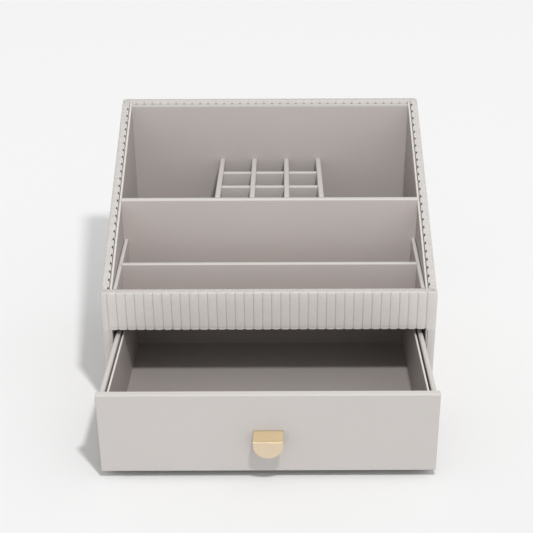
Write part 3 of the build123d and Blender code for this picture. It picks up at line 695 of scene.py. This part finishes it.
def pullSurface():
    # A strip along the profile: shelf, small bend, straight flap, then half-round end. The bend is
    # part of a circle, and the flap's half-width is its radius * cos(arc). Rows follow the profile,
    # columns go across the width, closer to each other near the edges
    front, bendRadius = pull["panelFront"], pull["bendRadius"]
    t = np.linspace(0, 1, pull["shelfRows"])
    out = front + pull["rootDepth"] - (pull["reach"] + pull["rootDepth"] - bendRadius) * t
    shelf = np.stack([out, pull["top"] - pull["drop"] * np.clip((front - out) / pull["reach"], 0, 1)], axis=1)
    bendTop = pull["top"] - pull["drop"]
    turn = np.radians(np.linspace(pull["bendFrom"], 90, pull["bendRows"]))
    bend = np.stack([
        front - pull["reach"] + bendRadius - bendRadius * np.sin(turn),
        bendTop - pull["bendCentre"] + bendRadius * np.cos(turn),
    ], axis=1)
    straightEnd = bendTop - pull["flapStraight"]
    straight = np.linspace(bend[-1, 1], straightEnd, pull["straightRows"])[1:]
    arc = np.radians(np.linspace(0, 90, pull["roundRows"]))[1:]
    z = np.concatenate([straight, straightEnd - pull["flapRadius"] * np.sin(arc)])
    flap = np.stack([np.full(len(z), front - pull["reach"]), z], axis=1)
    profile = np.concatenate([shelf, bend, flap])
    share = np.clip((front - profile[:, 0]) / pull["reach"], 0, 1)
    half = pull["rootHalf"] + (pull["flapRadius"] - pull["rootHalf"]) * share
    half[-len(arc):] = np.maximum(pull["flapRadius"] * np.cos(arc), pull["tipHalf"])
    across = np.sin(np.linspace(-1, 1, pull["columns"]) * np.pi / 2)
    points = np.zeros((len(profile), len(across), 3))
    points[..., 0] = half[:, None] * across[None, :]
    points[..., 1] = profile[:, 0][:, None]
    points[..., 2] = profile[:, 1][:, None]
    return points


tab = surfacePiece(
    "pullTab", [(pullSurface(), True, {})], satinBrass, "drawer", ["drawer_pull"],
    pull["thickness"],
)
soften = tab.modifiers.new("edges", "BEVEL")
soften.width = pull["softEdge"] * mm
soften.segments = pull["softSegments"]
soften.limit_method = "ANGLE"
soften.angle_limit = math.radians(pull["softFrom"])
print("pull made")

# Stage and light
stageSettings = {
    "floorColour": (0.90, 0.90, 0.90), "floorRoughness": 0.9, "floorSpecular": 0.1, "floorSide": 6.0,
    "floorFar": 12.0, "grainScale": 40.0, "grainDetail": 2, "grainShade": 0.995,
    "lampPlace": (0.118, -0.520, 0.770), "lamp": 19.83, "lampRadius": 0.030,
    "evenAt": 0.81, "nearLess": 0.68, "farGlow": 0.36,
    "world": 0.324, "back": 0.267, "front": (0.549, 0.390), "right": (0.273, 0.629),
    "left": (0.241, 0.291), "lowTo": 0.30, "highFrom": 0.60, "backdrop": 0.9,
}


def seenDirectly(tree):
    # 1 for what the eye sees straight, in a mirror or through glass, 0 for what only lights the rest
    path = tree.nodes.new("ShaderNodeLightPath").outputs
    straight = mathNode(tree, "MAXIMUM", path["Is Camera Ray"], path["Is Glossy Ray"])
    return mathNode(tree, "MAXIMUM", straight, path["Is Transmission Ray"])


# The lamp lights the floor by the cosine of its light's slope. Near the lamp's foot the floor is
# a little darker, and far away what the eye misses there is made up, so it reads evenly pale
floorColour, roughness = stageSettings["floorColour"], stageSettings["floorRoughness"]
floorMaterial, tree, shader = newMaterial("paleFloor", floorColour, roughness, stageSettings["floorSpecular"])
where = objectCoordinates(tree)
grain = noiseTexture(tree, where, stageSettings["grainScale"], stageSettings["grainDetail"])
shaded = tuple(stageSettings["grainShade"] * c for c in floorColour)
floorGrain = mixColour(tree, grain, floorColour, shaded)
fromLamp = tree.nodes.new("ShaderNodeVectorMath")
fromLamp.operation = "DISTANCE"
tree.links.new(where, fromLamp.inputs[0])
fromLamp.inputs[1].default_value = stageSettings["lampPlace"]
cosine = mathNode(tree, "DIVIDE", stageSettings["lampPlace"][2], fromLamp.outputs["Value"])
near = mathNode(tree, "MAXIMUM", mathNode(tree, "SUBTRACT", cosine, stageSettings["evenAt"]), 0.0)
near = mathNode(tree, "MULTIPLY", near, stageSettings["nearLess"])
tree.links.new(mixColour(tree, near, floorGrain, (0.0, 0.0, 0.0)), shader.inputs["Base Color"])
missing = mathNode(tree, "MAXIMUM", mathNode(tree, "SUBTRACT", stageSettings["evenAt"], cosine), 0.0)
glow = mathNode(tree, "MULTIPLY", missing, stageSettings["farGlow"])
shader.inputs["Emission Color"].default_value = (1, 1, 1, 1)
tree.links.new(mathNode(tree, "MULTIPLY", glow, seenDirectly(tree)), shader.inputs["Emission Strength"])
side, far = stageSettings["floorSide"], stageSettings["floorFar"]
floorMesh = bpy.data.meshes.new("floor")
floorCorners = [(-side, -side, 0), (side, -side, 0), (side, far, 0), (-side, far, 0)]
floorMesh.from_pydata(floorCorners, [], [(0, 1, 2, 3)])
floor = bpy.data.objects.new("floor", floorMesh)
bpy.context.scene.collection.objects.link(floor)
floorMesh.materials.append(floorMaterial)

# The world: plain, brighter towards the four sides than from above, each side low and high
world = bpy.data.worlds.new("studio")
bpy.context.scene.world = world
world.use_nodes = True
tree = world.node_tree
background = tree.nodes["Background"]
background.inputs["Color"].default_value = (1, 1, 1, 1)
direction = axes(tree, tree.nodes.new("ShaderNodeTexCoord").outputs["Generated"])


def sideLight(axis, sign, low, high):
    # The share of the direction that points to this side, at a level that changes with height
    share = mathNode(tree, "MAXIMUM", mathNode(tree, "MULTIPLY", direction[axis], sign), 0.0)
    amount = rampTo(tree, direction["Z"], stageSettings["lowTo"], stageSettings["highFrom"], low, high)
    return mathNode(tree, "MULTIPLY", share, amount)


level = mathNode(tree, "ADD", sideLight("Y", -1.0, *stageSettings["front"]), stageSettings["world"])
level = mathNode(tree, "ADD", level, sideLight("X", 1.0, *stageSettings["right"]))
level = mathNode(tree, "ADD", level, sideLight("X", -1.0, *stageSettings["left"]))
level = mathNode(tree, "ADD", level, sideLight("Y", 1.0, stageSettings["back"], stageSettings["back"]))
backdrop = tree.nodes.new("ShaderNodeMix")  # sockets 2 and 3 take the numbers, and 0 gives the mixed one
tree.links.new(seenDirectly(tree), backdrop.inputs["Factor"])
tree.links.new(level, backdrop.inputs[2])
backdrop.inputs[3].default_value = stageSettings["backdrop"]
tree.links.new(backdrop.outputs[0], background.inputs["Strength"])

# A small round lamp whose light doesn't weaken with distance, so that the floor stays even
lamp = bpy.data.lights.new("frontLamp", "POINT")
lamp.energy = stageSettings["lamp"]
lamp.shadow_soft_size = stageSettings["lampRadius"]
lamp.use_nodes = True
falloff = lamp.node_tree.nodes.new("ShaderNodeLightFalloff")
falloff.inputs["Strength"].default_value = 1.0
strength = lamp.node_tree.nodes["Emission"].inputs["Strength"]
lamp.node_tree.links.new(falloff.outputs["Constant"], strength)
holder = bpy.data.objects.new("frontLamp", lamp)
holder.location = stageSettings["lampPlace"]
bpy.context.scene.collection.objects.link(holder)

# Camera: place in metres, down and roll in degrees, lens and sensor in millimetres
cameraSettings = {
    "place": (0.01052, -0.78447, 0.45935), "down": 25.44, "roll": 0.20, "lens": 71.68, "sensor": 36.0,
    "shiftX": -0.0308, "shiftY": -0.0143, "nearest": 0.01,
}
lens = bpy.data.cameras.new("camera")
lens.lens = cameraSettings["lens"]
lens.sensor_width = cameraSettings["sensor"]
lens.sensor_fit = "HORIZONTAL"
lens.shift_x = cameraSettings["shiftX"]
lens.shift_y = cameraSettings["shiftY"]
lens.clip_start = cameraSettings["nearest"]
camera = bpy.data.objects.new("camera", lens)
camera.matrix_world = (
    Matrix.Translation(cameraSettings["place"])
    @ Matrix.Rotation(math.radians(90 - cameraSettings["down"]), 4, "X")
    @ Matrix.Rotation(math.radians(-cameraSettings["roll"]), 4, "Z")
)
bpy.context.scene.collection.objects.link(camera)
bpy.context.scene.camera = camera
bpy.context.scene.view_settings.view_transform = "Standard"
print("stage and camera ready")

bpy.context.view_layer.update()
